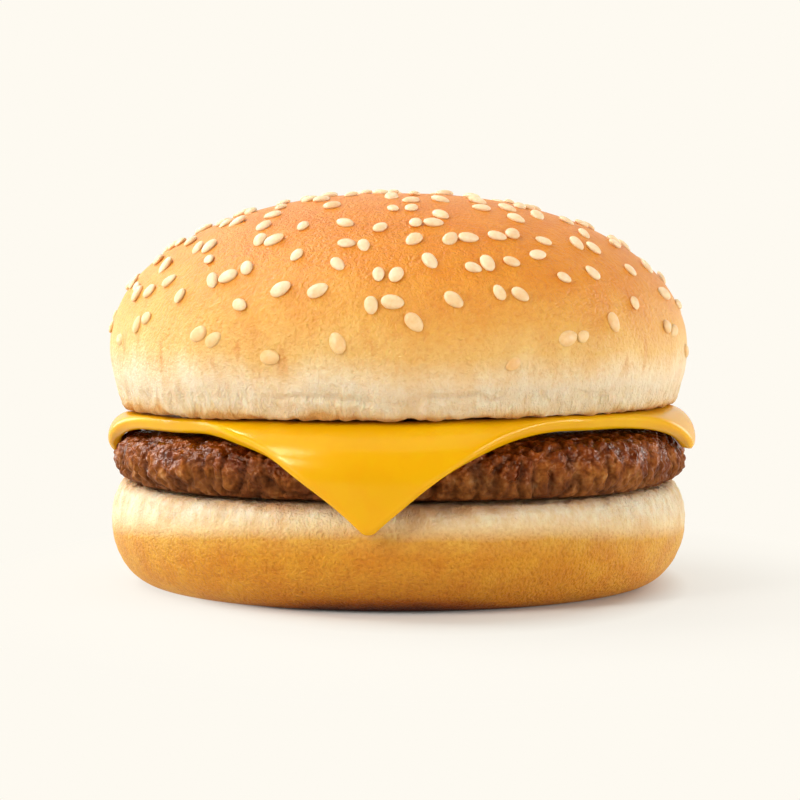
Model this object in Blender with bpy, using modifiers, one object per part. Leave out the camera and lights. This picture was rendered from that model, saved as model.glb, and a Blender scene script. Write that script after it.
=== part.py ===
"""A cheeseburger: a round bun cut in two, a beef patty, and a square slice of cheese laid on the patty with one
corner to the front. All four pieces lie on each other and are stacked along Z. The origin is the centre of the
bun's flat base, -Y is the front, and lengths are in metres."""

import math

import bpy
from mathutils import Vector, noise

MM = 0.001
GAP = 0.3 * MM  # kept between neighbours that touch in the real thing

# The bottom half of the bun: a flat base, a round side and a flat cut face.
BOTTOM_RADIUS = 49.5 * MM
BOTTOM_WIDEST = 11.3 * MM  # height of the widest place
BOTTOM_HEIGHT = 17.2 * MM
BASE_RADIUS = 41.8 * MM
CUT_RADIUS = 46.6 * MM  # of the flat cut face, inside its rounded rim
BOTTOM_WAVE = 0.35 * MM  # how far the baked side is out of round
RIM_SAG = 0.5 * MM  # how far the torn rim of the cut face dips
BOTTOM_BACK = 0.4 * MM  # it sits this far back of the patty's middle

# The beef patty: a flat disc with a lumpy side and a shoulder that rounds in to its top.
PATTY_RADIUS = 49.7 * MM
PATTY_THICKNESS = 9.4 * MM
PATTY_WIDEST = 4.0 * MM  # above its underside
SHOULDER = 5.4 * MM  # how far the shoulder reaches in from the side
SHOULDER_POWER = 1.8  # 2 would be an ellipse, 1 a straight slope
UNDER_ROUNDING = 3.0 * MM
LUMP = 0.9 * MM
LUMP_SIZE = 6.0 * MM
FRONT_TUCK = 2.4 * MM  # how much further in its side is under the cheese's front corner
FRONT_PRESS = 0.8 * MM  # how far that corner has pressed the shoulder down
TUCK_SPREAD = math.radians(36)
LEFT_DENT = 1.3 * MM  # how far the cheese's left corner has pressed into the shoulder
LEFT_WAY = math.radians(-173)  # where that corner crosses the shoulder
LEFT_SPREAD = math.radians(14)

# The slice of processed cheese, softened so that its corners hang over the patty.
SLICE_SIDE = 75.2 * MM
SLICE_THICKNESS = 2.4 * MM
SLICE_FORWARD = 10.0 * MM  # its centre lies this far forward of the patty's
SLICE_LEFT = 0.5 * MM
SLICE_TURN = math.radians(5.5)  # the front corner points this far to the left of the front
CORNER_CUT = 0.7 * MM  # the worn corners fall this far short of sharp ones
FOLD_RADIUS = 46.6 * MM  # the slice lies flat inside this circle and bends outside it
FOLD_BACK = 1.2 * MM  # the circle's centre is this far back of the patty's
EARLY_FOLD = 2.8 * MM  # how much further in the heavy front corner starts to bend
EARLY_SPREAD = math.radians(38)
BEND_RADIUS = 3.2 * MM  # of the bend's middle layer, on average
BEND_FRONT = 2.2 * MM  # how much wider the bend is at the front, and tighter at the back
BEND_RIGHT = 0.5 * MM
DRAPE_PARALLEL = 0.75  # 0: a corner hangs fanned out round the rim; 1: it hangs straight down like a flag

# The top half of the bun.
TOP_RADIUS = 49.7 * MM
TOP_WIDEST = 10.0 * MM  # above its cut face
TOP_HEIGHT = 36.9 * MM
TOP_CUT_RADIUS = 46.4 * MM
TOP_EDGE_RADIUS = 47.5 * MM  # where the crust ends, just above the cut face
TOP_EDGE_HEIGHT = 0.7 * MM
DOME_POWER = 2.12  # fuller than an ellipse
TUCK_POWER = 1.6  # how the side tucks in below its widest place
TOP_WAVE = 0.4 * MM
TOP_BACK = 0.6 * MM  # it sits this far back of the patty's middle

# How finely the round pieces and the slice are cut up.
BUN_STEPS = 64
PATTY_STEPS = 90
SLICE_CELLS = 44

# Each layer's underside, from the table up.
PATTY_BASE = BOTTOM_HEIGHT + GAP
SLICE_BASE = PATTY_BASE + PATTY_THICKNESS + GAP
TOP_BASE = SLICE_BASE + SLICE_THICKNESS + GAP

FRONT = math.radians(-90) - SLICE_TURN  # where the slice's front corner points


def start_collection(name):
    for obj in list(bpy.data.objects):
        bpy.data.objects.remove(obj)
    collection = bpy.data.collections.new(name)
    bpy.context.scene.collection.children.link(collection)
    return collection


def food_material(name, color, roughness):
    material = bpy.data.materials.new(name)
    material.use_nodes = True
    surface = material.node_tree.nodes["Principled BSDF"]
    surface.inputs["Base Color"].default_value = (*color, 1)
    surface.inputs["Roughness"].default_value = roughness
    surface.inputs["Metallic"].default_value = 0
    return material


def steps_between(start, end, count):
    """count values from start to end, both included."""
    return [start + (end - start) * i / (count - 1) for i in range(count)]


def round_over(share, power):
    """Height along a superellipse's quarter at a share of its width, both from 0 to 1."""
    return (1 - share**power) ** (1 / power)


def turned(collection, name, profile, steps):
    """A profile of (radius, height) points, from the top of the axis down its outer side, turned about Z."""
    line = bpy.data.meshes.new(name + "_profile")
    line.from_pydata([(r, 0, z) for r, z in profile], [(i, i + 1) for i in range(len(profile) - 1)], [])
    turner = bpy.data.objects.new(name + "_profile", line)
    collection.objects.link(turner)
    screw = turner.modifiers.new("Turn", "SCREW")
    screw.steps = screw.render_steps = steps
    screw.use_merge_vertices = True
    screw.merge_threshold = 0.01 * MM
    graph = bpy.context.evaluated_depsgraph_get()
    mesh = bpy.data.meshes.new_from_object(turner.evaluated_get(graph))
    bpy.data.objects.remove(turner)
    mesh.name = name
    obj = bpy.data.objects.new(name, mesh)
    collection.objects.link(obj)
    return obj


def finish(obj, material, move):
    """Moves every vertex as the function move says, and gives the piece its material and smooth shading."""
    for vertex in obj.data.vertices:
        vertex.co = move(vertex.co)
    obj.data.materials.clear()
    obj.data.materials.append(material)
    obj.data.shade_smooth()
    obj.data.set_sharp_from_angle(angle=math.radians(40))


def wave(way, terms):
    """A smooth unevenness round the axis, from -1 to 1, as a sum of (how many waves, share, phase)."""
    return sum(share * math.cos(count * way + phase) for count, share, phase in terms)


def toward(way, aim, spread):
    """1 in the way of aim, fading to 0 on both sides of it."""
    off = (way - aim + math.pi) % (2 * math.pi) - math.pi
    return math.exp(-((off / spread) ** 2))


def bottom_profile():
    """The cut face, its rounded rim, the side down to the table, and the base."""
    rim_reach = BOTTOM_RADIUS - CUT_RADIUS
    rim_drop = BOTTOM_HEIGHT - BOTTOM_WIDEST
    foot_reach = BOTTOM_RADIUS - BASE_RADIUS
    rim = [
        (CUT_RADIUS + rim_reach * math.sin(turn), BOTTOM_WIDEST + rim_drop * math.cos(turn))
        for turn in steps_between(0, math.pi / 2, 6)
    ]
    foot = [
        (BASE_RADIUS + foot_reach * math.cos(turn), BOTTOM_WIDEST * (1 - math.sin(turn)))
        for turn in steps_between(0, math.pi / 2, 8)[1:]
    ]
    return [(0, BOTTOM_HEIGHT), (CUT_RADIUS / 2, BOTTOM_HEIGHT), *rim, *foot, (0, 0)]


def make_bottom_bun(collection):
    obj = turned(collection, "bottom_bun", bottom_profile(), BUN_STEPS)
    baked = [(2, 0.5, 0.4), (3, 0.3, 1.9), (7, 0.2, 2.6)]
    torn = [(5, 0.4, 0.7), (11, 0.35, 2.2), (19, 0.25, 4.1)]

    def move(place):
        radius = math.hypot(place.x, place.y)
        way = math.atan2(place.y, place.x)
        side = math.sin(math.pi * min(place.z / BOTTOM_HEIGHT, 1))  # 0 at the base and at the cut face
        outward = BOTTOM_WAVE * side * wave(way, baked) * min(radius / BASE_RADIUS, 1)
        rim = max(0, (radius - CUT_RADIUS / 2) / (BOTTOM_RADIUS - CUT_RADIUS / 2)) ** 2
        high = max(0, (place.z - BOTTOM_WIDEST) / (BOTTOM_HEIGHT - BOTTOM_WIDEST))
        down = RIM_SAG * rim * high * (1 + wave(way, torn)) / 2
        reach = radius + outward
        return Vector((reach * math.cos(way), reach * math.sin(way) + BOTTOM_BACK, place.z - down))

    finish(obj, food_material("baked_crust", (0.78, 0.47, 0.17), 0.6), move)


def patty_profile():
    """The flat top, the sloping shoulder, the bulge of the side and the rounded lower edge."""
    shoulder_drop = PATTY_THICKNESS - PATTY_WIDEST
    widest = PATTY_BASE + PATTY_WIDEST
    inner = PATTY_RADIUS - SHOULDER
    shoulder = [
        (inner + SHOULDER * share, widest + shoulder_drop * round_over(share, SHOULDER_POWER))
        for share in (0, 0.25, 0.5, 0.72, 0.88, 0.97, 1)
    ]
    lower = [
        (
            PATTY_RADIUS - UNDER_ROUNDING * (1 - math.cos(turn)),
            PATTY_BASE + PATTY_WIDEST * (1 - math.sin(turn)),
        )
        for turn in steps_between(0, math.pi / 2, 5)[1:]
    ]
    top = PATTY_BASE + PATTY_THICKNESS
    return [(0, top), (inner / 2, top), *shoulder, *lower, (0, PATTY_BASE)]


def make_patty(collection):
    obj = turned(collection, "patty", patty_profile(), PATTY_STEPS)
    inner = PATTY_RADIUS - SHOULDER
    widest = PATTY_BASE + PATTY_WIDEST

    def move(place):
        radius = math.hypot(place.x, place.y)
        way = math.atan2(place.y, place.x)
        outer = min(max((radius - inner) / SHOULDER, 0), 1)  # 0 where the shoulder starts, 1 at the side
        upper = min(max((place.z - widest) / (PATTY_THICKNESS - PATTY_WIDEST), 0), 1)
        lump = noise.noise(place / LUMP_SIZE, noise_basis="PERLIN_ORIGINAL")
        fine = noise.noise(place * 2.3 / LUMP_SIZE, noise_basis="PERLIN_ORIGINAL")
        inward = max(LUMP * outer * (0.45 - 0.7 * lump - 0.35 * fine), 0)
        front = toward(way, FRONT, TUCK_SPREAD) * min(radius / inner, 1) ** 4
        left = toward(way, LEFT_WAY, LEFT_SPREAD) * min(radius / inner, 1) * min(4 * upper, 1)
        inward += FRONT_TUCK * front + LEFT_DENT * left
        share = (radius - inward) / radius if radius else 1
        down = FRONT_PRESS * front * upper * min(max((radius - inner) / SHOULDER + 0.5, 0), 1)
        return Vector((place.x * share, place.y * share, place.z - down))

    finish(obj, food_material("seared_beef", (0.15, 0.055, 0.02), 0.45), move)


def early_fold(way):
    """How far inside the fold circle the slice starts to bend, this way round the axis."""
    return EARLY_FOLD * toward(way, FRONT, EARLY_SPREAD)


def bend_radius(way):
    """How tightly the slice's middle layer bends over the patty's edge, this way round the axis."""
    ahead = way - math.radians(-90)
    return BEND_RADIUS + BEND_FRONT * math.cos(ahead) + BEND_RIGHT * math.sin(ahead) + early_fold(way)


def hanging_way(way):
    """Which way the slice leans out where it crosses the fold circle: between straight out and its corner's way."""
    quarter = math.pi / 2
    off = (way - FRONT + quarter / 2) % quarter - quarter / 2
    return way - off * DRAPE_PARALLEL * math.cos(2 * off) ** 2


def fold(x, y):
    """Where the slice starts to bend on its way to the flat point (x, y): which way round the circle, how far past
    it the point lies, and the way that it leans out there. Measured from the fold circle's centre."""
    way = math.atan2(y, x)
    for _ in range(10):
        lean = hanging_way(way)
        start = FOLD_RADIUS - early_fold(way)
        out = x * math.cos(lean) + y * math.sin(lean)
        past = out - math.sqrt(max(out**2 - x**2 - y**2 + start**2, 0))
        way = math.atan2(y - past * math.sin(lean), x - past * math.cos(lean))
    return way, past, lean


def drape(x, y):
    """The middle layer of the hanging slice, for a point of the flat one."""
    middle = SLICE_BASE + SLICE_THICKNESS / 2
    y -= FOLD_BACK
    if math.hypot(x, y) <= FOLD_RADIUS - early_fold(math.atan2(y, x)):
        return Vector((x, y + FOLD_BACK, middle))
    way, past, lean = fold(x, y)
    start = FOLD_RADIUS - early_fold(way)
    radius = bend_radius(way)
    turn = min(max(past, 0) / radius, math.pi / 2)
    reach = radius * math.sin(turn)
    drop = radius * (1 - math.cos(turn)) + past - radius * turn
    return Vector(
        (
            start * math.cos(way) + reach * math.cos(lean),
            start * math.sin(way) + reach * math.sin(lean) + FOLD_BACK,
            middle - drop,
        )
    )


def make_cheese(collection):
    bpy.ops.mesh.primitive_grid_add(x_subdivisions=SLICE_CELLS, y_subdivisions=SLICE_CELLS, size=SLICE_SIDE)
    obj = bpy.context.object
    obj.name = obj.data.name = "cheese"
    for owner in list(obj.users_collection):
        owner.objects.unlink(obj)
    collection.objects.link(obj)
    across = math.radians(45) + FRONT  # turns a corner of the square to the front
    half = SLICE_SIDE / 2

    def move(place):
        corner = abs(place.x * place.y) / half**2  # 1 at the four corners
        short = CORNER_CUT * corner**12 / math.hypot(half, half)
        x = place.x * (1 - short)
        y = place.y * (1 - short)
        flat_x = x * math.cos(across) - y * math.sin(across) - SLICE_LEFT
        flat_y = x * math.sin(across) + y * math.cos(across) - SLICE_FORWARD
        return drape(flat_x, flat_y)

    finish(obj, food_material("sliced_cheese", (0.95, 0.55, 0.02), 0.3), move)
    plain = obj.modifiers.new("Join the flat cells", "DECIMATE")
    plain.decimate_type = "DISSOLVE"
    plain.angle_limit = math.radians(0.5)
    skin = obj.modifiers.new("Thickness", "SOLIDIFY")
    skin.thickness = SLICE_THICKNESS
    skin.offset = 0


def top_profile():
    """The dome, the side that tucks in below its widest place, the edge of the crust and the cut face."""
    widest = TOP_BASE + TOP_WIDEST
    dome_height = TOP_HEIGHT - TOP_WIDEST
    dome = [
        (TOP_RADIUS * round_over(math.cos(turn), DOME_POWER), widest + dome_height * math.cos(turn))
        for turn in steps_between(0, math.pi / 2, 12)
    ]
    tuck = [
        (
            TOP_RADIUS - (TOP_RADIUS - TOP_EDGE_RADIUS) * share**TUCK_POWER,
            widest - (TOP_WIDEST - TOP_EDGE_HEIGHT) * share,
        )
        for share in steps_between(0, 1, 5)[1:]
    ]
    return [*dome, *tuck, (TOP_CUT_RADIUS, TOP_BASE), (TOP_CUT_RADIUS / 2, TOP_BASE), (0, TOP_BASE)]


def make_top_bun(collection):
    obj = turned(collection, "top_bun", top_profile(), BUN_STEPS)
    baked = [(2, 0.45, 2.1), (3, 0.35, 0.6), (5, 0.2, 4.0)]

    def move(place):
        radius = math.hypot(place.x, place.y)
        way = math.atan2(place.y, place.x)
        high = (place.z - TOP_BASE) / TOP_HEIGHT
        out = TOP_WAVE * wave(way, baked) * math.sin(math.pi * high) * min(2 * radius / TOP_RADIUS, 1)
        return Vector(((radius + out) * math.cos(way), (radius + out) * math.sin(way) + TOP_BACK, place.z))

    finish(obj, food_material("golden_crust", (0.85, 0.42, 0.1), 0.5), move)


def main():
    collection = start_collection("cheeseburger")
    make_bottom_bun(collection)
    make_patty(collection)
    make_cheese(collection)
    make_top_bun(collection)


main()
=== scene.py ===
import math
import random

import bpy
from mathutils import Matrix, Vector, noise


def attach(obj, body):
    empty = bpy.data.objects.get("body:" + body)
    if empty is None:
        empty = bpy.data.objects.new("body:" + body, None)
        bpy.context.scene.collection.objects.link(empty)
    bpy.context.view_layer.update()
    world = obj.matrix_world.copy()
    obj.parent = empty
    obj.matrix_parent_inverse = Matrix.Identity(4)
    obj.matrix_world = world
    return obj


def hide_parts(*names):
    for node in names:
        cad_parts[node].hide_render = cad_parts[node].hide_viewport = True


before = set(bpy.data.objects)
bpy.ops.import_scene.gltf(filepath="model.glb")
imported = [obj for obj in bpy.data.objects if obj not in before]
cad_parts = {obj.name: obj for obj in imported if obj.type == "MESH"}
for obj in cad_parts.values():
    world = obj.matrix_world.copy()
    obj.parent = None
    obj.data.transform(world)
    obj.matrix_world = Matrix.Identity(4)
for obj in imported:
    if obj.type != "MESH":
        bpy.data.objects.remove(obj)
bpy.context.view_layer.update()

mm = 0.001                     # sizes and heights below are in millimetres
front = math.radians(-90)      # the way towards the camera, seen from above


def hexColor(code):
    parts = [int(code[i:i + 2], 16) / 255 for i in (0, 2, 4)]
    return [p / 12.92 if p <= 0.04045 else ((p + 0.055) / 1.055) ** 2.4 for p in parts]


def between(low, high, value):
    # 0 below low, 1 above high, smooth in between
    share = min(max((value - low) / (high - low), 0), 1)
    return share * share * (3 - 2 * share)


def wobble(x, y, z, size, seed):
    # soft noise from about -1 to 1, in lumps of the given size; each seed gives other lumps
    spot = Vector((x / size + seed * 7.3, y / size - seed * 3.1, z / size + seed))
    return noise.noise(spot, noise_basis="PERLIN_ORIGINAL")


def lumps(depthAndSize, x, y, z, seed):
    depth, size = depthAndSize
    return depth * wobble(x, y, z, size, seed)


def newPiece(name, verts, faces, material, slot, node=None):
    mesh = bpy.data.meshes.new(name)
    mesh.from_pydata(verts, [], faces)
    mesh.update()
    mesh.shade_smooth()
    mesh.materials.append(material)
    piece = bpy.data.objects.new(name, mesh)
    bpy.context.scene.collection.objects.link(piece)
    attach(piece, "root")
    if node:
        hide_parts(node)
    print("made", name, "with", len(faces), "faces")
    return piece


def roundSheet(rings):
    # a square net pulled into a disc: (ring, way) for each point, its faces, and the outer ring in order
    points, faces, outer = [], [], []
    width = 2 * rings + 1
    eighth = math.pi / 4
    for i in range(-rings, rings + 1):
        for j in range(-rings, rings + 1):
            ring = max(abs(i), abs(j))
            if ring == 0:
                way = 0
            elif abs(i) == ring and i != -j:
                way = eighth * j / ring if i > 0 else math.pi + eighth * -j / ring
            else:
                way = 2 * eighth - eighth * i / ring if j > 0 else -2 * eighth + eighth * i / ring
            points.append((ring, way))
            if ring == rings:
                outer.append((way % (2 * math.pi), len(points) - 1))
    for i in range(width - 1):
        for j in range(width - 1):
            a = i * width + j
            faces.append((a, a + width, a + width + 1, a + 1))
    return points, faces, [index for way, index in sorted(outer)]


def turnedPiece(name, line, rings, place, **rest):
    # line: (radius, height) from the top of the axis to its foot; the first rings of it are a round sheet
    points, faces, loop = roundSheet(rings)
    verts = [place(*line[ring], way) for ring, way in points]
    ways = [points[index][1] for index in loop]
    around = len(loop)
    for radius, height in line[rings + 1:-1]:
        start = len(verts)
        verts.extend(place(radius, height, way) for way in ways)
        new = list(range(start, start + around))
        for k in range(around):
            n = (k + 1) % around
            faces.append((loop[k], new[k], new[n], loop[n]))
        loop = new
    verts.append(place(*line[-1], 0))
    faces.extend((loop[k], len(verts) - 1, loop[(k + 1) % around]) for k in range(around))
    return newPiece(name, verts, faces, **rest)


def evenLine(corners, stepAt):
    # walks along the corners with steps of the length that stepAt gives for a height and a radius
    line = [corners[0]]
    for start, end in zip(corners, corners[1:]):
        length = math.dist(start, end)
        count = max(1, round(length / stepAt((start[1] + end[1]) / 2, (start[0] + end[0]) / 2)))
        for k in range(1, count + 1):
            line.append(tuple(a + (b - a) * (k / count) for a, b in zip(start, end)))
    return line


def feed(tree, node, inputs):
    # an input is linked when it is given another node's output, and set when it is given a value
    for name, value in inputs.items():
        if isinstance(value, bpy.types.NodeSocket):
            tree.links.new(value, node.inputs[name])
        else:
            node.inputs[name].default_value = value


def addNode(tree, kind, inputs=None, **settings):
    made = tree.nodes.new(kind)
    for name, value in settings.items():
        setattr(made, name, value)
    feed(tree, made, inputs or {})
    return made


def startMaterial(name):
    material = bpy.data.materials.new(name)
    material.use_nodes = True
    tree = material.node_tree
    place = addNode(tree, "ShaderNodeTexCoord").outputs["Object"]
    return material, tree, tree.nodes["Principled BSDF"], place


def grain(tree, place, size, detail=3.0, rough=0.55, stretch=(1, 1, 1), warp=0.0):
    # noise from 0 to 1, most of it between 0.3 and 0.7, whose lumps are about this big
    scale = [share / (size * mm) for share in stretch]
    shaped = addNode(tree, "ShaderNodeMapping", {"Vector": place, "Scale": scale})
    made = addNode(tree, "ShaderNodeTexNoise", {
        "Vector": shaped.outputs[0], "Scale": 1.0, "Detail": detail, "Roughness": rough, "Distortion": warp})
    return made.outputs["Fac"]


def calc(tree, operation, a, b):
    return addNode(tree, "ShaderNodeMath", {0: a, 1: b}, operation=operation).outputs[0]


def plus(tree, a, b):
    return calc(tree, "ADD", a, b)


def times(tree, a, b):
    return calc(tree, "MULTIPLY", a, b)


def centred(tree, value):
    # noise from 0 to 1 is moved to lie around 0
    return calc(tree, "SUBTRACT", value, 0.5)


def remap(tree, value, low, high, to0=0.0, to1=1.0):
    made = addNode(tree, "ShaderNodeMapRange", {
        "Value": value, "From Min": low, "From Max": high, "To Min": to0, "To Max": to1})
    return made.outputs[0]


def fadeIn(tree, along, edges, most=1.0):
    # 0 at the first edge and most at the second, measured along one axis
    return remap(tree, along, edges[0] * mm, edges[1] * mm, 0.0, most)


def ramp(tree, value, stops):
    made = addNode(tree, "ShaderNodeValToRGB", {"Fac": value})
    elements = made.color_ramp.elements
    while len(elements) < len(stops):
        elements.new(0.5)
    for element, (position, code) in zip(elements, stops):
        element.position = position
        element.color = (*hexColor(code), 1)
    return made.outputs["Color"]


def mixColor(tree, factor, a, b, blend="MIX"):
    # a and b are another node's colours, or codes
    made = addNode(tree, "ShaderNodeMix", data_type="RGBA", blend_type=blend, clamp_factor=True)
    a, b = [(*hexColor(color), 1) if isinstance(color, str) else color for color in (a, b)]
    feed(tree, made, {0: factor, 6: a, 7: b})
    return made.outputs[2]


def bump(tree, height, depth):
    return addNode(tree, "ShaderNodeBump", {"Height": height, "Distance": depth * mm}).outputs["Normal"]


def lightSoak(look):
    # light soaks into food: how much of it does, how deep, and how far its red, green and blue get
    return {"Subsurface Weight": look["lightIn"], "Subsurface Scale": look["lightDepth"] * mm,
            "Subsurface Radius": look["lightColor"]}


studio = {
    "cameraDistance": 0.375, "cameraHeight": 0.0484, "cameraAside": 0.0003,   # in metres
    "cameraDip": 2.66,         # degrees below level
    "lens": 97,
    "paper": "FEFAF1",
    "paperLight": 1.42,        # how brightly the lamps light the bare floor
    "glowNear": 0.04,          # share of the floor's brightness that is its own glow, at the food
    "glowMid": 0.7,            # and a little farther off, so that shadows stay close
    "nearEdge": 0.053, "midEdge": 0.066, "farEdge": 0.12,   # metres from the middle
    "sideways": 1.5,           # the shaded patch is this much narrower from left to right
    "shadeRight": 0.006,       # and its middle is this far to the right
    "floorHalf": 9, "floorBend": [(2.0, 0.0), (2.6, 0.15), (3.0, 0.6), (3.1, 1.5), (3.1, 3.5)],
}


def makeCamera():
    data = bpy.data.cameras.new("camera")
    data.lens = studio["lens"]
    data.sensor_width = 36
    data.clip_start = 0.01
    data.clip_end = 50
    camera = bpy.data.objects.new("camera", data)
    camera.location = (studio["cameraAside"], -studio["cameraDistance"], studio["cameraHeight"])
    camera.rotation_euler = (math.radians(90 - studio["cameraDip"]), 0, 0)
    bpy.context.scene.collection.objects.link(camera)
    bpy.context.scene.camera = camera
    print("set the camera")


def makePaper():
    # a paper floor that rises behind into a wall; far from the food it glows evenly, near it takes shadows
    material, tree, shader, place = startMaterial("paper")
    narrow = studio["sideways"]
    squeezed = addNode(tree, "ShaderNodeMapping", {
        "Vector": place, "Scale": (narrow, 1, 1), "Location": (-studio["shadeRight"] * narrow, 0, 0)})
    length = addNode(tree, "ShaderNodeVectorMath", {0: squeezed.outputs[0]}, operation="LENGTH")
    away = length.outputs["Value"]
    near = remap(tree, away, studio["nearEdge"], studio["midEdge"], studio["glowNear"], studio["glowMid"])
    far = remap(tree, away, studio["midEdge"], studio["farEdge"], 0.0, 1.0 - studio["glowMid"])
    glow = plus(tree, near, far)
    matt = calc(tree, "DIVIDE", calc(tree, "SUBTRACT", 1.0, glow), studio["paperLight"])
    feed(tree, shader, {
        "Base Color": mixColor(tree, matt, "000000", studio["paper"]),
        "Roughness": 0.9, "Specular IOR Level": 0.0,
        "Emission Color": (*hexColor(studio["paper"]), 1), "Emission Strength": glow})
    half = studio["floorHalf"]
    bend = [(-half, 0.0)] + studio["floorBend"]
    verts = [(x, y, z) for y, z in bend for x in (-half, half)]
    faces = [(2 * k, 2 * k + 1, 2 * k + 3, 2 * k + 2) for k in range(len(bend) - 1)]
    mesh = bpy.data.meshes.new("paper")
    mesh.from_pydata(verts, [], faces)
    mesh.materials.append(material)
    floor = bpy.data.objects.new("paper", mesh)
    bpy.context.scene.collection.objects.link(floor)
    print("laid the paper floor")


lamps = {                      # where each softbox hangs and its size, in metres, and its power in watts
    "key": ((-0.78, -0.44, 0.26), (0.6, 0.5), 3.0),
    "left_high": ((-0.6, -0.42, 0.82), (0.24, 0.24), 2.4),
    "glint": ((-0.5, -0.46, 0.4), (0.14, 0.14), 1.7),
    "gloss": ((-0.62, 0.15, 0.76), (0.2, 0.2), 2.1),
    "sheen": ((-0.5, 0.48, 0.7), (0.4, 0.3), 3.2),
    "top": ((-0.1, 0.0, 0.85), (0.8, 0.8), 1.6),
    "right_side": ((0.84, -0.34, 0.19), (0.5, 0.35), 4.8),
    "left_back": ((-0.7, 0.42, 0.18), (0.3, 0.35), 1.8),
    "right_back": ((0.7, 0.48, 0.18), (0.3, 0.35), 1.0),
}

room = {
    "aim": (0, 0, 0.03),       # the lamps point at the middle of the food
    "frontEdge": -0.8, "backEdge": 0.7,
    "frontLight": 0.22, "backLight": 0.35,   # it is darker on the camera's side
}


def makeLamps():
    for name, (where, size, power) in lamps.items():
        data = bpy.data.lights.new(name, "AREA")
        data.shape = "RECTANGLE"
        data.size, data.size_y = size
        data.energy = power
        lamp = bpy.data.objects.new(name, data)
        lamp.location = where
        lamp.rotation_euler = (Vector(room["aim"]) - Vector(where)).to_track_quat("-Z", "Y").to_euler()
        bpy.context.scene.collection.objects.link(lamp)
    print("hung", len(lamps), "lamps")


def makeRoom():
    world = bpy.data.worlds.new("studio")
    world.use_nodes = True
    tree = world.node_tree
    sky = tree.nodes["Background"]
    aim = addNode(tree, "ShaderNodeTexCoord").outputs["Generated"]
    back = addNode(tree, "ShaderNodeSeparateXYZ", {0: aim}).outputs["Y"]
    light = remap(tree, back, room["frontEdge"], room["backEdge"], room["frontLight"], room["backLight"])
    feed(tree, sky, {"Color": (1, 1, 1, 1), "Strength": light})
    # past the edge of the floor the camera sees the paper's own colour
    paper = (*hexColor(studio["paper"]), 1)
    plain = addNode(tree, "ShaderNodeBackground", {"Color": paper, "Strength": 1.0})
    seen = addNode(tree, "ShaderNodeLightPath").outputs["Is Camera Ray"]
    both = addNode(tree, "ShaderNodeMixShader", {0: seen, 1: sky.outputs[0], 2: plain.outputs[0]})
    tree.links.new(both.outputs[0], tree.nodes["World Output"].inputs["Surface"])
    bpy.context.scene.world = world
    bpy.context.scene.view_settings.view_transform = "Standard"
    print("lit the room")


topBun = {
    "radius": 49.7, "widest": 39.9, "top": 66.8, "domePower": 2.12,
    "back": 0.6,               # it sits this far to the back
    "rimRadius": 47.6, "rimHeight": 30.6, "cutHeight": 30.0, "tuckPower": 1.6,
    "rings": 100,              # of the sheet over the dome
    "domeStep": 0.62, "rimStep": 0.3, "cutStep": 3.0,
    "rimFrom": 44,             # the cut face is plain inside this radius
    "swell": (0.45, 24), "dents": (0.14, 7),   # depth and size of its lumps
    "crumbFade": (32.7, 36.0), "crumbEdge": (1.2, 9),   # torn crumb below, smooth crust above
    "ridges": 0.42, "ridge": (1.0, 2.3), "fineRidge": (0.5, 1.0),
    "groove": 0.45, "grooveHeight": 33.4, "grooveWidth": 0.45,   # a broken crease above the torn edge
    "waver": (1.1, 12), "fineWaver": (0.7, 3.4), "breaks": 14,
    "ragged": 0.45, "tear": (1.0, 3.2), "fineTear": (0.6, 1.2), "tearHeight": 2.4, "deepestTear": 0.25,
    "slant": (0.25, 30),       # the dome isn't quite even
    "sideLift": 0.2,           # the rim curls up at the left and the right
    "tilt": 0.009,             # its underside rises to the right, by this much per millimetre
    "finish": {
        "span": (30, 67),          # the colours run from the one height to the other
        # the first stop darkens the torn lower edge with painted shade and a painted warm reflection of the
        # cheese below it
        "stops": [(0.00, "D09C58"), (0.015, "E4C694"), (0.045, "ECDCBC"), (0.12, "ECDBBC"), (0.18, "EDD2A2"),
                  (0.27, "EBBE6C"), (0.40, "E8AB48"), (0.62, "E69420"), (0.85, "E0860C")],
        "crumb": (36.5, 33.0),     # baked skin at the first height, torn crumb at the second
        "drift": 5.0, "patch": 4.0,   # how far the colours wander up and down, broadly and in patches
        "mottle": 0.35, "deep": "EAC48C",   # darker patches in the baking
        "specks": 0.3, "speck": "E2B87C",   # and small specks
        "hollowShade": "EDD2A4",        # painted shade in the hollows between the tufts of the crumb
        "gloss": 0.42, "shine": 0.42,   # roughness and shine of the skin
        "relief": 0.65, "grain": 0.75, "runs": 0.45, "tufts": 1.3,
        "sideLightShift": -0.6, "sideLightLow": 1.0, "middleShadeShift": 0.0,   # how the colours bow at the two ends: painted side light makes both ends paler
        "lean": 0.06,              # painted sheen: the upper left is paler, the upper right browner
        "juiceAndShade": None,
        "marks": 0.4,              # strength of the small darker upright streaks round its belt
    },
}


def topBunOutline():
    look = topBun
    rise = look["top"] - look["widest"]
    power = look["domePower"]
    corners = []
    for k in range(61):
        turn = math.pi / 2 * k / 60
        wide = look["radius"] * (1 - math.cos(turn) ** power) ** (1 / power)
        corners.append((wide, look["widest"] + rise * math.cos(turn)))
    drop = look["widest"] - look["rimHeight"]
    for k in range(1, 21):
        share = k / 20
        wide = look["radius"] - (look["radius"] - look["rimRadius"]) * share ** look["tuckPower"]
        corners.append((wide, look["widest"] - drop * share))
    cut = look["cutHeight"]
    corners += [(look["rimRadius"] - 0.35, cut + 0.2), (look["rimRadius"] - 0.9, cut)]
    corners += [(40, cut), (20, cut), (0, cut)]

    def step(height, radius):
        if height > look["widest"]:
            return look["domeStep"]
        return look["rimStep"] if radius > 45 else look["cutStep"]

    return evenLine(corners, step)


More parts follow.
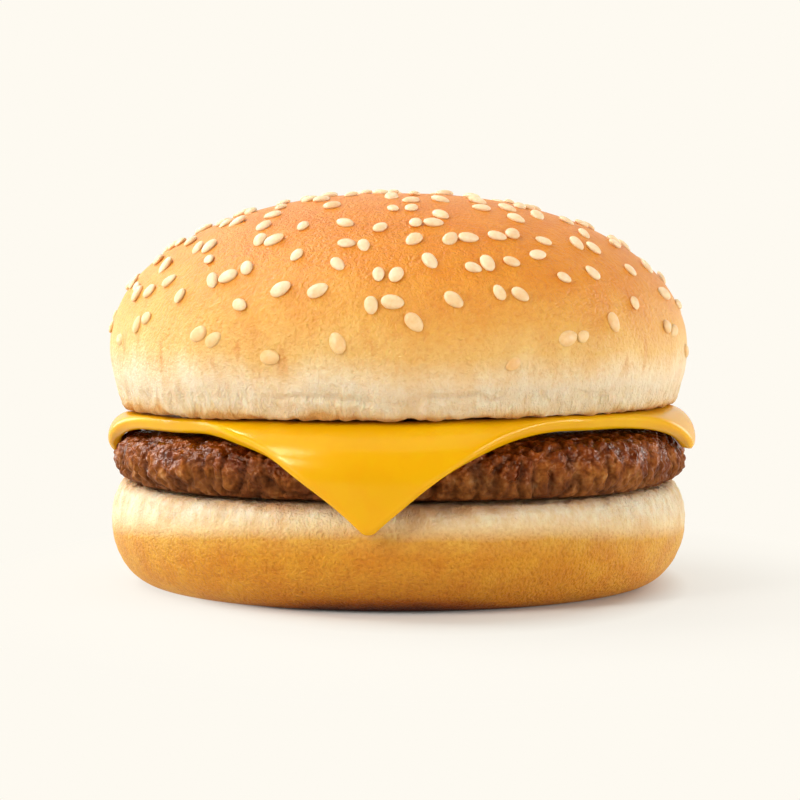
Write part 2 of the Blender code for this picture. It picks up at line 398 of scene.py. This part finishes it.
def makeTopBun(material):
    look = topBun
    cut = look["cutHeight"]
    line = topBunOutline()
    dome = [spot for spot in line if spot[1] >= look["widest"] - 0.001 and spot[0] <= look["radius"]]
    rings = min(look["rings"], len(dome) - 1)

    def place(radius, height, way):
        x, y = radius * math.cos(way), radius * math.sin(way)
        rim = min(radius / look["rimFrom"], 1) ** 6
        out = lumps(look["swell"], x, y, height, 1) * min(radius / 30, 1)
        out += lumps(look["dents"], x, y, height, 2)
        # upright ridges in the torn crumb
        crumb = 1 - between(*look["crumbFade"], height + lumps(look["crumbEdge"], x, y, 0, 5))
        ridge = lumps(look["ridge"], x, y, height * 0.35, 3)
        ridge += lumps(look["fineRidge"], x, y, height * 0.6, 4)
        out += look["ridges"] * crumb * rim * (ridge - 0.2)
        # the crease wavers round the bun and breaks off here and there
        waver = lumps(look["waver"], x, y, 0, 9) + lumps(look["fineWaver"], x, y, 0, 10)
        off = (height - look["grooveHeight"] - waver) / look["grooveWidth"]
        deep = look["groove"] * between(-0.3, 0.2, wobble(x, y, 0, look["breaks"], 10))
        out -= deep * rim * math.exp(-off ** 2)
        # the lowest edge is ragged
        low = 1 - between(cut, cut + look["tearHeight"], height)
        tear = lumps(look["tear"], x, y, 0, 6) + lumps(look["fineTear"], x, y, 0, 7)
        down = look["ragged"] * low * rim * tear
        up = between(cut - 0.5, look["widest"], height) * lumps(look["slant"], x, y, 0, 8)
        up += look["sideLift"] * low * rim * math.cos(way) ** 2 + look["tilt"] * x * low
        r = radius + out * rim if height < cut + 0.3 else radius + out * min(radius / 10, 1)
        up += max(down, -look["deepestTear"])
        return (r * math.cos(way) * mm, (r * math.sin(way) + look["back"]) * mm, (height + up) * mm)

    return turnedPiece("top_bun_baked", line, rings, place, material=material, slot="top_crust",
                       node="top_bun")


bottomBun = {
    "radius": 49.5, "widest": 11.3, "base": 41.8,
    "back": 0.4,               # it sits this far to the back
    "rimRadius": 46.6, "cutHeight": 17.2,
    "rings": 92, "sheetRadius": 43.5,   # of the sheet over the cut face
    "rimStep": 0.34, "baseStep": 2.0, "cutStep": 1.4,
    "rimFrom": 46,             # the cut face is plain inside this radius
    "swell": (0.35, 26), "pits": 0.1, "pit": (1.0, 2.4), "finePit": (0.6, 1.1),
    "crumbFade": (12.0, 14.6), "crumbEdge": (0.9, 8),   # smooth crust below, pale crumb above
    "ridges": 0.35, "ridge": (1.0, 1.6), "fineRidge": (0.6, 0.8),
    "ragged": 0.5, "tear": (0.7, 4.5), "fineTear": (0.5, 1.3), "tearHeight": 3,
    "frontDip": 0.35,          # the rim is lower at the front and the back
    "liftLeft": 1.0, "liftRight": 0.5,   # and a little higher at the two sides
    "finish": {
        "span": (0, 17.2),
        # the darkest stops at the foot are partly its browned base and partly painted contact shade
        "stops": [(0.00, "5E2800"), (0.07, "A85C04"), (0.14, "CE8820"), (0.30, "DB982A"), (0.50, "E09C28"),
                  (0.65, "E5AC44"), (0.77, "F1D8A6"), (0.90, "F5EACE")],
        "crumb": (11.9, 14.6),
        "drift": 1.6, "patch": 1.8,
        "mottle": 0.5, "deep": "E4B478",
        "specks": 0.34, "speck": "BE8440",
        # painted shade between the tufts, warmed as a painted reflection of the cheese
        "hollowShade": "F0D6A0",
        "gloss": 0.5, "shine": 0.2,
        "relief": 1.0, "grain": 0.6, "runs": 1.0, "tufts": 0.5,
        # painted side light bows the colours paler at the two ends, and painted shade browns the middle
        # under the cheese
        "sideLightShift": 3.4, "sideLightLow": 3.6, "middleShadeShift": -0.7,
        "lean": 0.0,
        "juiceAndShade": "D69A58",        # meat juice and painted warm shade along the cut edge under the patty
        "marks": None,
    },
}


def bottomBunOutline():
    look = bottomBun
    cut, widest = look["cutHeight"], look["widest"]
    corners = [(0, cut), (30, cut), (44, cut)]
    reach = look["radius"] - look["rimRadius"]
    for k in range(17):
        turn = math.pi / 2 * k / 16
        wide = look["rimRadius"] + reach * math.sin(turn)
        corners.append((wide, widest + (cut - widest) * math.cos(turn)))
    foot = look["radius"] - look["base"]
    for k in range(1, 25):
        turn = math.pi / 2 * k / 24
        corners.append((look["base"] + foot * math.cos(turn), widest * (1 - math.sin(turn))))
    corners += [(30, 0), (15, 0), (0, 0)]

    def step(height, radius):
        if radius > 42.7:
            return look["rimStep"]
        return look["cutStep"] if height > 1 else look["baseStep"]

    sheet = [(look["sheetRadius"] * (k / look["rings"]), cut) for k in range(look["rings"] + 1)]
    past = look["sheetRadius"] + 0.1
    return sheet + [spot for spot in evenLine(corners, step) if spot[0] > past or spot[1] < 1]


def makeBottomBun(material):
    look = bottomBun
    cut = look["cutHeight"]

    def place(radius, height, way):
        x, y = radius * math.cos(way), radius * math.sin(way)
        side = math.sin(math.pi * min(height / cut, 1))
        rim = min(radius / look["rimFrom"], 1) ** 8
        out = lumps(look["swell"], x, y, height, 11) * side * min(radius / 40, 1)
        crumb = between(*look["crumbFade"], height + lumps(look["crumbEdge"], x, y, 0, 12))
        skin = lumps(look["pit"], x, y, height * 1.3, 13) + lumps(look["finePit"], x, y, height * 1.3, 14)
        out += look["pits"] * side * (1 - crumb) * skin
        ridge = lumps(look["ridge"], x, y, height * 0.3, 15)
        ridge += lumps(look["fineRidge"], x, y, height * 0.7, 16)
        out += look["ridges"] * crumb * rim * (ridge - 0.2)
        high = between(cut - look["tearHeight"], cut, height) * rim
        tear = 0.5 + lumps(look["tear"], x, y, 0, 17) + lumps(look["fineTear"], x, y, 0, 18)
        down = max(look["ragged"] * high * tear, 0) + look["frontDip"] * high * abs(math.sin(way)) ** 3
        lift = look["liftRight"] if x > 0 else look["liftLeft"]
        down -= lift * high * math.cos(way) ** 8
        r = radius + out * rim
        return (r * math.cos(way) * mm, (r * math.sin(way) + look["back"]) * mm, (height - down) * mm)

    return turnedPiece("bottom_bun_baked", bottomBunOutline(), look["rings"], place, material=material,
                       slot="bottom_crust", node="bottom_bun")


crust = {                      # what both halves share
    "broad": 16, "patchy": 5, "pores": 0.35, "fibre": 0.9,   # sizes of its grain
    "reach": 50,               # the left and right ends are this far from the middle
    "sideLightHeights": (0, 9),         # the painted side light bows the colours more at the first height than at the second
    "sheenLeanHeights": (40, 52),
    "juiceAndShadeHeights": (15.0, 16.6), "juiceAndShadeShare": 0.62,   # meat juice and painted warm shade darken the crumb above the first
    "juiceAndShadeBow": 1.4, "juiceAndShadeRagged": 0.4,
    "markSize": 3.2, "markColor": "E8B468",
    "markTop": (43.5, 41.5), "markFoot": (35.5, 37.5),   # the darker streaks fade in over these heights
    "crumbRoughness": 0.9,
    "lightIn": 0.25, "lightDepth": 2.2, "lightColor": (1.0, 0.5, 0.2),
}


def crustMaterial(name, look):
    material, tree, shader, place = startMaterial(name)
    parts = addNode(tree, "ShaderNodeSeparateXYZ", {0: place}).outputs
    height = parts["Z"]
    broad = grain(tree, place, crust["broad"], 2.0)
    patchy = grain(tree, place, crust["patchy"], 5.0, 0.6, (1, 1, look["runs"]))
    fine = grain(tree, place, look["grain"])
    pores = grain(tree, place, crust["pores"], 2.0, 0.6)
    fibre = grain(tree, place, crust["fibre"], 4.0, 0.65, (1, 1, 0.3), 0.4)

    # how far the colours are moved up or down at each place: in patches, and by a bow from end to end that
    # is painted side light on the ends and painted shade in the middle
    drift = times(tree, centred(tree, broad), look["drift"] * mm)
    blotch = plus(tree, drift, times(tree, centred(tree, patchy), look["patch"] * mm))
    side = calc(tree, "POWER", times(tree, parts["X"], 1 / (crust["reach"] * mm)), 2.0)
    low, high = crust["sideLightHeights"]
    side = times(tree, side, remap(tree, height, low * mm, high * mm, look["sideLightLow"], 1.0))
    bowed = plus(tree, times(tree, side, look["sideLightShift"] * mm), look["middleShadeShift"] * mm)
    # painted sheen: the colours grow paler towards the upper left and browner towards the upper right
    lean = times(tree, parts["X"], fadeIn(tree, height, crust["sheenLeanHeights"], look["lean"]))
    level = plus(tree, height, plus(tree, blotch, plus(tree, bowed, lean)))

    low, high = look["span"]
    baked = ramp(tree, remap(tree, level, low * mm, high * mm), look["stops"])
    crumb = fadeIn(tree, level, look["crumb"])
    mottle = remap(tree, patchy, 0.35, 0.65, 0.0, look["mottle"])
    mottled = mixColor(tree, mottle, baked, look["deep"], "MULTIPLY")
    specks = remap(tree, fine, 0.3, 0.56, look["specks"], 0.0)
    speckled = mixColor(tree, specks, mottled, look["speck"], "MULTIPLY")
    # the hollows between the crumb's tufts get painted shade
    hollowShadeMask = remap(tree, fibre, 0.3, 0.62, 0.55, 0.0)
    surface = mixColor(tree, crumb, speckled, mixColor(tree, hollowShadeMask, mottled, look["hollowShade"], "MULTIPLY"))
    # a meat juice stain and painted warm shade in the seam under the patty
    if look["juiceAndShade"]:
        wet = calc(tree, "SUBTRACT", height, times(tree, side, crust["juiceAndShadeBow"] * mm))
        wet = plus(tree, wet, times(tree, blotch, crust["juiceAndShadeRagged"]))
        juiceAndShadeMask = fadeIn(tree, wet, crust["juiceAndShadeHeights"], crust["juiceAndShadeShare"])
        surface = mixColor(tree, juiceAndShadeMask, surface, look["juiceAndShade"], "MULTIPLY")
    if look["marks"]:
        upright = grain(tree, place, crust["markSize"], 1.0, 0.5, (1, 1, 0.35))
        lines = times(tree, remap(tree, upright, 0.64, 0.7), fadeIn(tree, height, crust["markTop"]))
        lines = times(tree, lines, fadeIn(tree, height, crust["markFoot"], look["marks"]))
        surface = mixColor(tree, lines, surface, crust["markColor"], "MULTIPLY")

    skin = plus(tree, times(tree, fine, 0.7), times(tree, pores, 0.3))
    tufts = plus(tree, times(tree, fibre, look["tufts"]), times(tree, pores, 0.5))
    skinShare = calc(tree, "SUBTRACT", 1.0, crumb)
    relief = plus(tree, times(tree, skin, skinShare), times(tree, tufts, crumb))
    feed(tree, shader, {
        "Base Color": surface,
        "Roughness": remap(tree, crumb, 0, 1, look["gloss"], crust["crumbRoughness"]),
        "Specular IOR Level": look["shine"],
        "Normal": bump(tree, relief, look["relief"]),
        **lightSoak(crust)})
    return material


seeds = {
    "length": 3.27, "width": 2.25, "thick": 1.15,
    "sizes": (0.79, 1.1),      # the smallest and the largest, as shares of these
    "blunt": (0.03, 0.16),     # how much narrower one end is
    "sunk": 0.3,               # share of the thickness below the crust
    "sunkLow": 0.25,           # and this much more for the lowest ones, which are baked in
    "sunkHeights": (40, 49),
    "tip": 0.12,               # how far they tip out of the crust
    "dropFrom": 12, "outFrom": 34,   # they drop from this far outside, away from this height on the axis
    "spacingTop": 5.9, "spacingLow": 10.0, "spacingHeights": (37, 51),
    "uneven": (0.85, 1.25),    # the spacing varies by this much
    "lowest": 38.5, "crowding": 0.8,   # below 1 puts more of them near the top
    "pairShare": 0.28, "pairGap": (2.7, 3.5), "closest": 2.6,
    "rows": 9, "around": 12,   # faces along and round a seed
    "tries": 9000, "seed": 11,
    "finish": {
        "grain": 0.7, "patch": 6,  # sizes of its fine grain and of its broad patches
        "tones": [(0.35, "F0CFA0"), (0.5, "F4DAB2"), (0.65, "ECC898")],
        "freckle": "F0D8B0", "freckles": 0.4,
        "bakedIn": "F6DFB0",       # the low ones are half under the crust
        "bakedHeights": (52, 41), "bakedShare": 0.8,
        "roughness": 0.42, "relief": 0.08,
        "lightIn": 0.3, "lightDepth": 1.0, "lightColor": (1.0, 0.6, 0.3),
    },
}


def domeRadius(up):
    # radius of the dome's skin at a height
    look = topBun
    share = (up - look["widest"]) / (look["top"] - look["widest"])
    if share < 0:
        down = (look["widest"] - up) / (look["widest"] - look["rimHeight"])
        return look["radius"] - (look["radius"] - look["rimRadius"]) * down ** look["tuckPower"]
    return look["radius"] * (1 - share ** look["domePower"]) ** (1 / look["domePower"])


def scatterSpots(dice):
    # random places over the dome that keep their distance, some with a mate close by
    look = seeds
    spots = []
    for _ in range(look["tries"]):
        way = dice.uniform(0, 2 * math.pi)
        up = look["lowest"] + (topBun["top"] - look["lowest"]) * dice.random() ** look["crowding"]
        up = min(up, topBun["top"] - 0.02)
        wide = domeRadius(up)
        spot = Vector((wide * math.cos(way), wide * math.sin(way) + topBun["back"], up))
        thinned = between(*look["spacingHeights"], up)
        room = look["spacingLow"] + (look["spacingTop"] - look["spacingLow"]) * thinned
        room *= dice.uniform(*look["uneven"])
        if any((spot - other).length <= room for other in spots):
            continue
        spots.append(spot)
        if dice.random() < look["pairShare"]:
            side = Vector((-math.sin(way), math.cos(way), dice.uniform(-0.5, 0.5))).normalized()
            mate = spot + side * dice.uniform(*look["pairGap"])
            if all((mate - other).length > look["closest"] for other in spots):
                spots.append(mate)
    return spots


def makeSeeds(bun, material):
    dice = random.Random(seeds["seed"])
    spots = scatterSpots(dice)
    verts, faces = [], []
    for spot in spots:
        # each is dropped onto the crust from outside, and stands square to it
        towards = Vector((spot.x, spot.y, max(spot.z - seeds["outFrom"], 1) * 1.5)).normalized()
        found, where, normal, _ = bun.ray_cast((spot + towards * seeds["dropFrom"]) * mm, -towards)
        if found:
            addSeed(verts, faces, where, (normal + towards * 0.6).normalized(), dice)
    print("scattered", len(spots), "seeds")
    return newPiece("sesame_seeds", verts, faces, material, "sesame")


def addSeed(verts, faces, where, normal, dice):
    look = seeds
    size = dice.uniform(*look["sizes"])
    long = normal.orthogonal().normalized()
    turn = dice.uniform(0, 2 * math.pi)
    wide = normal.cross(long)
    long, wide = long * math.cos(turn) + wide * math.sin(turn), wide * math.cos(turn) - long * math.sin(turn)
    long = (long + normal * dice.uniform(-look["tip"], look["tip"])).normalized()
    low, high = look["sunkHeights"]
    sunk = look["sunk"] + look["sunkLow"] * (1 - between(low * mm, high * mm, where.z))
    centre = where + normal * look["thick"] * (0.5 - sunk) * mm
    blunt = dice.uniform(*look["blunt"])
    rows, around = look["rows"], look["around"]
    start = len(verts)
    for i in range(rows + 1):
        angle = math.pi * i / rows
        along = math.cos(angle)
        girth = math.sin(angle) * (1 - blunt * along)
        for j in range(around):
            side = 2 * math.pi * j / around
            spot = long * along * look["length"] / 2
            spot += wide * girth * math.cos(side) * look["width"] / 2
            spot += normal * girth * math.sin(side) * look["thick"] / 2
            verts.append(centre + spot * mm * size)
    for i in range(rows):
        for j in range(around):
            a, b = start + i * around + j, start + i * around + (j + 1) % around
            if i == 0:
                faces.append((a, a + around, b + around))
            elif i == rows - 1:
                faces.append((a, a + around, b))
            else:
                faces.append((a, a + around, b + around, b))


def seedMaterial():
    look = seeds["finish"]
    material, tree, shader, place = startMaterial("sesame_hull")
    fine = grain(tree, place, look["grain"])
    base = ramp(tree, grain(tree, place, look["patch"], 2.0), look["tones"])
    freckles = remap(tree, fine, 0.4, 0.7, 0.0, look["freckles"])
    freckled = mixColor(tree, freckles, base, look["freckle"], "MULTIPLY")
    height = addNode(tree, "ShaderNodeSeparateXYZ", {0: place}).outputs["Z"]
    low = fadeIn(tree, height, look["bakedHeights"], look["bakedShare"])
    feed(tree, shader, {
        "Base Color": mixColor(tree, low, freckled, look["bakedIn"], "MULTIPLY"),
        "Roughness": look["roughness"],
        "Normal": bump(tree, fine, look["relief"]),
        **lightSoak(look)})
    return material


beef = {
    "radius": 49.9, "base": 17.4, "thick": 9.4, "widest": 4.2,
    "right": 0.15,             # it sits this far to the right
    "shoulder": 5.0, "shoulderPower": 2.2, "under": 3.0,
    "rings": 104, "sideStep": 0.25, "baseStep": 4.0,
    "tilt": 0.010,             # its top rises to the right, by this much per millimetre
    "liftLeft": 1.0, "liftRight": 0.5,   # its underside is higher at the two sides
    "frontTuck": 2.2, "tuckSpread": 34,   # it sits further in under the front corner of the cheese
    "fold": 3.3, "foldDepth": 0.78, "foldWidth": 0.3,    # creases between the strands of mince
    "lump": 3.0, "lumpDepth": 0.7, "lumpWidth": 0.34,    # and between its lumps
    "bend": (1.6, 7),          # the creases wander by this much
    "crumb": 1.15, "crumbDepth": 0.5,
    "swell": (0.6, 11), "smallSwell": (0.4, 4.6),
    "finish": {
        "patchSize": 6, "clumpSize": 2.4, "grainSize": 1.1,
        "browns": [(0.34, "522404"), (0.43, "83440C"), (0.51, "A05C1E"), (0.60, "B87A3C"), (0.70, "CC9C6C")],
        "patch": "9E6238", "patches": 0.8, "drift": 6,
        "lowColor": "6E4220", "lowHeights": (22.0, 18.5), "lowShare": 0.5,   # darker below
        "highColor": "D88A58", "highHeights": (20.5, 23.5), "highShare": 0.55,   # redder above
        "foldShadeColor": "5C2C0A", "foldShadeShare": 0.72,
        "fatHeights": (18.5, 24.5), "fatRight": (15, 45),
        "dry": 0.75, "wet": 0.12,  # roughness without and with fat on it
        "shine": 0.42, "shineColor": (1.0, 0.55, 0.3, 1),
        "relief": 0.6,
        "bigBead": (2.8, 1.2), "bead": (1.3, 1.7), "grit": (0.5, 0.25),   # size and height of each
        "lightIn": 0.08, "lightDepth": 1.0, "lightColor": (1.0, 0.35, 0.2),
    },
}


def nearCorner(way, spread):
    # 1 in the direction of the cheese's front corner, fading over this many degrees to each side
    off = (way - front + math.radians(cheese["turn"]) + math.pi) % (2 * math.pi) - math.pi
    return math.exp(-(off / math.radians(spread)) ** 2)


def crease(value, width):
    # 1 along the lines where a noise crosses zero, 0 elsewhere
    return max(0.0, 1 - abs(value) / width) ** 1.5


def pattyOutline(inner, wide, top):
    look = beef
    power = look["shoulderPower"]
    corners = [(inner, top)]
    for k in range(1, 31):
        share = math.sin(math.pi / 2 * k / 30)
        up = (1 - share ** power) ** (1 / power) if share < 1 else 0
        corners.append((inner + look["shoulder"] * share, wide + (top - wide) * up))
    for k in range(1, 17):
        turn = math.pi / 2 * k / 16
        radius = look["radius"] - look["under"] * (1 - math.cos(turn))
        corners.append((radius, wide - look["widest"] * math.sin(turn)))
    corners += [(42, look["base"]), (20, look["base"]), (0, look["base"])]

    def step(height, radius):
        return look["sideStep"] if radius > 43 or height > 18 else look["baseStep"]

    sheet = [(inner * (k / look["rings"]) ** 0.9, top) for k in range(look["rings"] + 1)]
    return sheet + evenLine(corners, step)[1:]


def makePatty(material):
    look = beef
    base = look["base"]
    top = base + look["thick"]
    wide = base + look["widest"]
    inner = look["radius"] - look["shoulder"]
    depths = []                # how deep in a fold each point is, for the material's painted shade in the folds

    def place(radius, height, way):
        x, y = radius * math.cos(way), radius * math.sin(way)
        slope = between(wide, top, height)
        bend = lumps(look["bend"], x, y, height, 20)
        folded = wobble(x + bend, y + bend, height * 0.22, look["fold"], 21)
        fold = crease(folded, look["foldWidth"]) * (1 - 0.5 * slope)
        lumped = wobble(x, y, height * 0.9 + bend, look["lump"], 22)
        lump = crease(lumped, look["lumpWidth"]) * (0.45 + 0.55 * slope)
        crumb = wobble(x, y, height, look["crumb"], 23)
        depths.append(min(1.0, 0.85 * fold + 0.7 * lump + 0.3 * max(0, crumb)))
        sink = look["foldDepth"] * fold + look["lumpDepth"] * lump + look["crumbDepth"] * (0.5 + crumb)
        sink += 0.3 - lumps(look["swell"], x, y, height, 24) - lumps(look["smallSwell"], x, y, height, 25)
        sink *= between(inner - 6, inner + 2, radius)
        sink += look["frontTuck"] * nearCorner(way, look["tuckSpread"]) * between(38, 47, radius)
        if height < base + 0.3:
            r = radius - sink * between(38, 45, radius)
        else:
            r = radius - sink * (1 - 0.5 * slope) * (0.4 if radius < inner else 1)
        up = (look["tilt"] * x - sink * 0.6) * slope
        lift = look["liftRight"] if x > 0 else look["liftLeft"]
        up += lift * (1 - between(base, wide, height)) * math.cos(way) ** 8 * between(40, 46, radius)
        return ((r * math.cos(way) + look["right"]) * mm, r * math.sin(way) * mm, (height + up) * mm)

    line = pattyOutline(inner, wide, top)
    piece = turnedPiece("patty_seared", line, look["rings"], place, material=material, slot="beef",
                        node="patty")
    piece.data.attributes.new("crease", "FLOAT", "POINT").data.foreach_set("value", depths)
    return piece


def beefMaterial():
    look = beef["finish"]
    material, tree, shader, place = startMaterial("seared_beef")
    parts = addNode(tree, "ShaderNodeSeparateXYZ", {0: place}).outputs
    height = parts["Z"]
    deep = addNode(tree, "ShaderNodeAttribute", attribute_name="crease").outputs["Fac"]
    patchy = grain(tree, place, look["patchSize"])
    clumps = grain(tree, place, look["clumpSize"], 4.0, 0.6, warp=0.5)
    grains = grain(tree, place, look["grainSize"])
    mixed = plus(tree, times(tree, clumps, 0.55), times(tree, grains, 0.45))
    browned = ramp(tree, mixed, look["browns"])
    patches = remap(tree, patchy, 0.38, 0.62, 0.0, look["patches"])
    patched = mixColor(tree, patches, browned, look["patch"], "MULTIPLY")
    rise = plus(tree, height, times(tree, centred(tree, patchy), look["drift"] * mm))
    low = fadeIn(tree, rise, look["lowHeights"], look["lowShare"])
    high = fadeIn(tree, rise, look["highHeights"], look["highShare"])
    seared = mixColor(tree, low, patched, look["lowColor"])
    seared = mixColor(tree, high, seared, look["highColor"], "MULTIPLY")
    # painted shade darkens the folds and the creases between the lumps
    folded = mixColor(tree, times(tree, deep, look["foldShadeShare"]), seared, look["foldShadeColor"], "MULTIPLY")

    # the fat glistens in patches on the upper half, less so at the right
    fat = remap(tree, height, look["fatHeights"][0] * mm, look["fatHeights"][1] * mm, -0.25, 0.2)
    fat = plus(tree, fat, fadeIn(tree, parts["X"], look["fatRight"], -0.1))
    fat = plus(tree, plus(tree, patchy, fat), times(tree, centred(tree, grains), 0.35))

    # round beads of mince, small and large, with a fine grit over them
    (size, tall), (bigSize, bigTall), (gritSize, gritTall) = look["bead"], look["bigBead"], look["grit"]
    beads = times(tree, grain(tree, place, size, 1.0, 0.5), tall)
    beads = plus(tree, beads, times(tree, grain(tree, place, gritSize, 3.0, 0.6), gritTall))
    beads = plus(tree, beads, times(tree, grain(tree, place, bigSize, 2.0), bigTall))
    feed(tree, shader, {
        "Base Color": folded,
        "Roughness": remap(tree, fat, 0.42, 0.53, look["dry"], look["wet"]),
        "Specular IOR Level": look["shine"], "Specular Tint": look["shineColor"],
        "Normal": bump(tree, beads, look["relief"]),
        **lightSoak(look)})
    return material


cheese = {
    "side": 75.2, "thick": 2.4,
    "base": 27.1,              # height of its underside at the middle
    "forward": 10.0, "right": -0.5, "turn": 5.5,   # where the slice lies, and degrees it is turned
    "tilt": 0.012,             # rise per millimetre to the right
    "fold": 46.6, "foldBack": 1.2,   # it folds down over a circle of this radius, this far to the back
    "bend": 2.9, "bendFront": 2.3, "bendRight": 0.75,   # radius of the fold
    "parallel": 0.75,          # 1 makes the folded corners hang straight, 0 lets them flare out
    "tuck": 38.0,              # degrees by which the side corners curl in under
    "earlyFold": 2.8, "earlySpread": 38,   # at the front corner it starts to fall this much further in
    "bow": 1.2, "edgeWave": 0.5,   # how far the middles of its edges have spread
    "crest": 0.35,             # it swells up a little where it comes out from under the bun
    "ripple": (0.18, 9), "wave": (0.45, 20),
    "cells": 170, "edgeRound": 0.7, "edgeRows": 8, "cornerRound": 1.6,
    "finish": {
        "grain": 3, "patch": 20,
        "yellows": [(0.35, "E0A200"), (0.65, "E6AC00")],
        "pale": "FFE9B0", "paleShare": 0.25,
        "roughness": 0.2, "shine": 0.44, "shineColor": (1.0, 0.85, 0.5, 1),
        "relief": 0.05,
        "lightIn": 0.35, "lightDepth": 3.0, "lightColor": (1.0, 0.6, 0.08),
    },
}


def leanWay(way, corner):
    # the direction in which the slice falls at a place on the fold
    quarter = math.pi / 2
    off = (way - corner + quarter / 2) % quarter - quarter / 2
    return way - off * cheese["parallel"] * math.cos(2 * off) ** 2


def drapePoint(x, y, offset):
    # where a point of the flat slice ends up, offset up from its middle layer
    look = cheese
    corner = front - math.radians(look["turn"])
    middle = look["base"] + look["thick"] / 2 + look["tilt"] * x
    y -= look["foldBack"]
    way = math.atan2(y, x)
    early = look["earlyFold"] * nearCorner(way, look["earlySpread"])
    if math.hypot(x, y) <= look["fold"] - early:
        return (x, y + look["foldBack"], middle + offset)
    for _ in range(10):        # closes in on the place where the fold starts
        lean = leanWay(way, corner)
        early = look["earlyFold"] * nearCorner(way, look["earlySpread"])
        fold = look["fold"] - early
        out = x * math.cos(lean) + y * math.sin(lean)
        past = out - math.sqrt(max(out ** 2 - x ** 2 - y ** 2 + fold ** 2, 0))
        way = math.atan2(y - past * math.sin(lean), x - past * math.cos(lean))
    ahead = way - front
    radius = look["bend"] + look["bendFront"] * math.cos(ahead) + look["bendRight"] * math.sin(ahead) + early
    most = math.radians(90 + look["tuck"] * math.sin(ahead) ** 2)
    turn = min(past / radius, most)
    rest = past - radius * turn
    reach = radius * math.sin(turn) + offset * math.sin(turn) + rest * math.cos(turn)
    drop = radius * (1 - math.cos(turn)) + rest * math.sin(turn)
    return (fold * math.cos(way) + reach * math.cos(lean),
            fold * math.sin(way) + reach * math.sin(lean) + look["foldBack"],
            middle - drop + offset * math.cos(turn))


def flatPoint(u, v, inset):
    # a point of the square slice, where u and v run from -1 to 1, with its edge drawn in by inset
    look = cheese
    half = look["side"] / 2
    across = math.radians(45) + front - math.radians(look["turn"])
    spreadX = look["bow"] + look["edgeWave"] * wobble(u, v * 4, 0, 1, 33)
    spreadY = look["bow"] + look["edgeWave"] * wobble(u * 4, v, 0, 1, 34)
    x = u * (half - inset + spreadX * (1 - v * v) * u * u)
    y = v * (half - inset + spreadY * (1 - u * u) * v * v)
    nearX, nearY = [max(0, abs(w) - (1 - look["cornerRound"] / half)) for w in (u, v)]
    if nearX > 0 and nearY > 0:
        pull = (math.hypot(nearX, nearY) - max(nearX, nearY)) * half
        x -= math.copysign(pull * nearX / math.hypot(nearX, nearY), x)
        y -= math.copysign(pull * nearY / math.hypot(nearX, nearY), y)
    return (x * math.cos(across) - y * math.sin(across) + look["right"],
            x * math.sin(across) + y * math.cos(across) - look["forward"])


def makeCheese(material):
    look = cheese
    cells, edge, thick = look["cells"], look["edgeRound"], look["thick"] / 2
    verts, faces = [], []

    def add(i, j, inset, offset):
        x, y = flatPoint(2 * i / cells - 1, 2 * j / cells - 1, inset)
        away = math.hypot(x, y)
        wave = lumps(look["ripple"], x, y, 0, 31) + lumps(look["wave"], x, y, 0, 32) * between(40, 50, away)
        wave += look["crest"] * between(40, 45, away) * (1 - between(45.5, 50, away))
        verts.append([c * mm for c in drapePoint(x, y, offset + wave)])
        return len(verts) - 1

    top, low = [[[add(i, j, edge, offset) for j in range(cells + 1)] for i in range(cells + 1)]
                for offset in (thick, -thick)]
    for i in range(cells):
        for j in range(cells):
            faces.append((top[i][j], top[i + 1][j], top[i + 1][j + 1], top[i][j + 1]))
            faces.append((low[i][j], low[i][j + 1], low[i + 1][j + 1], low[i + 1][j]))
    rim = [(i, 0) for i in range(cells)] + [(cells, j) for j in range(cells)]
    rim += [(cells - i, cells) for i in range(cells)] + [(0, cells - j) for j in range(cells)]
    loops = [[top[i][j] for i, j in rim]]
    for k in range(1, look["edgeRows"]):
        turn = math.pi * k / look["edgeRows"]
        # rounded over at the top and the bottom, nearly straight in between
        inset = edge * (1 - min(1, math.sin(turn) * 1.25))
        loops.append([add(i, j, inset, thick * math.cos(turn)) for i, j in rim])
    loops.append([low[i][j] for i, j in rim])
    for upper, lower in zip(loops, loops[1:]):
        for k in range(len(rim)):
            n = (k + 1) % len(rim)
            faces.append((upper[k], lower[k], lower[n], upper[n]))
    return newPiece("cheese_slice", verts, faces, material, "cheese", "cheese")


def cheeseMaterial():
    look = cheese["finish"]
    material, tree, shader, place = startMaterial("processed_cheese")
    fine = grain(tree, place, look["grain"])
    base = ramp(tree, grain(tree, place, look["patch"], 2.0), look["yellows"])
    pale = remap(tree, fine, 0.4, 0.7, 0.0, look["paleShare"])
    feed(tree, shader, {
        "Base Color": mixColor(tree, pale, base, look["pale"], "MULTIPLY"),
        "Roughness": look["roughness"],
        "Specular IOR Level": look["shine"], "Specular Tint": look["shineColor"],
        "Normal": bump(tree, fine, look["relief"]),
        **lightSoak(look)})
    return material


makeCamera()
makePaper()
makeLamps()
makeRoom()
makeBottomBun(crustMaterial("bottom_bun_crust", bottomBun["finish"]))
makePatty(beefMaterial())
makeCheese(cheeseMaterial())
bun = makeTopBun(crustMaterial("top_bun_crust", topBun["finish"]))
bpy.context.view_layer.update()
makeSeeds(bun, seedMaterial())
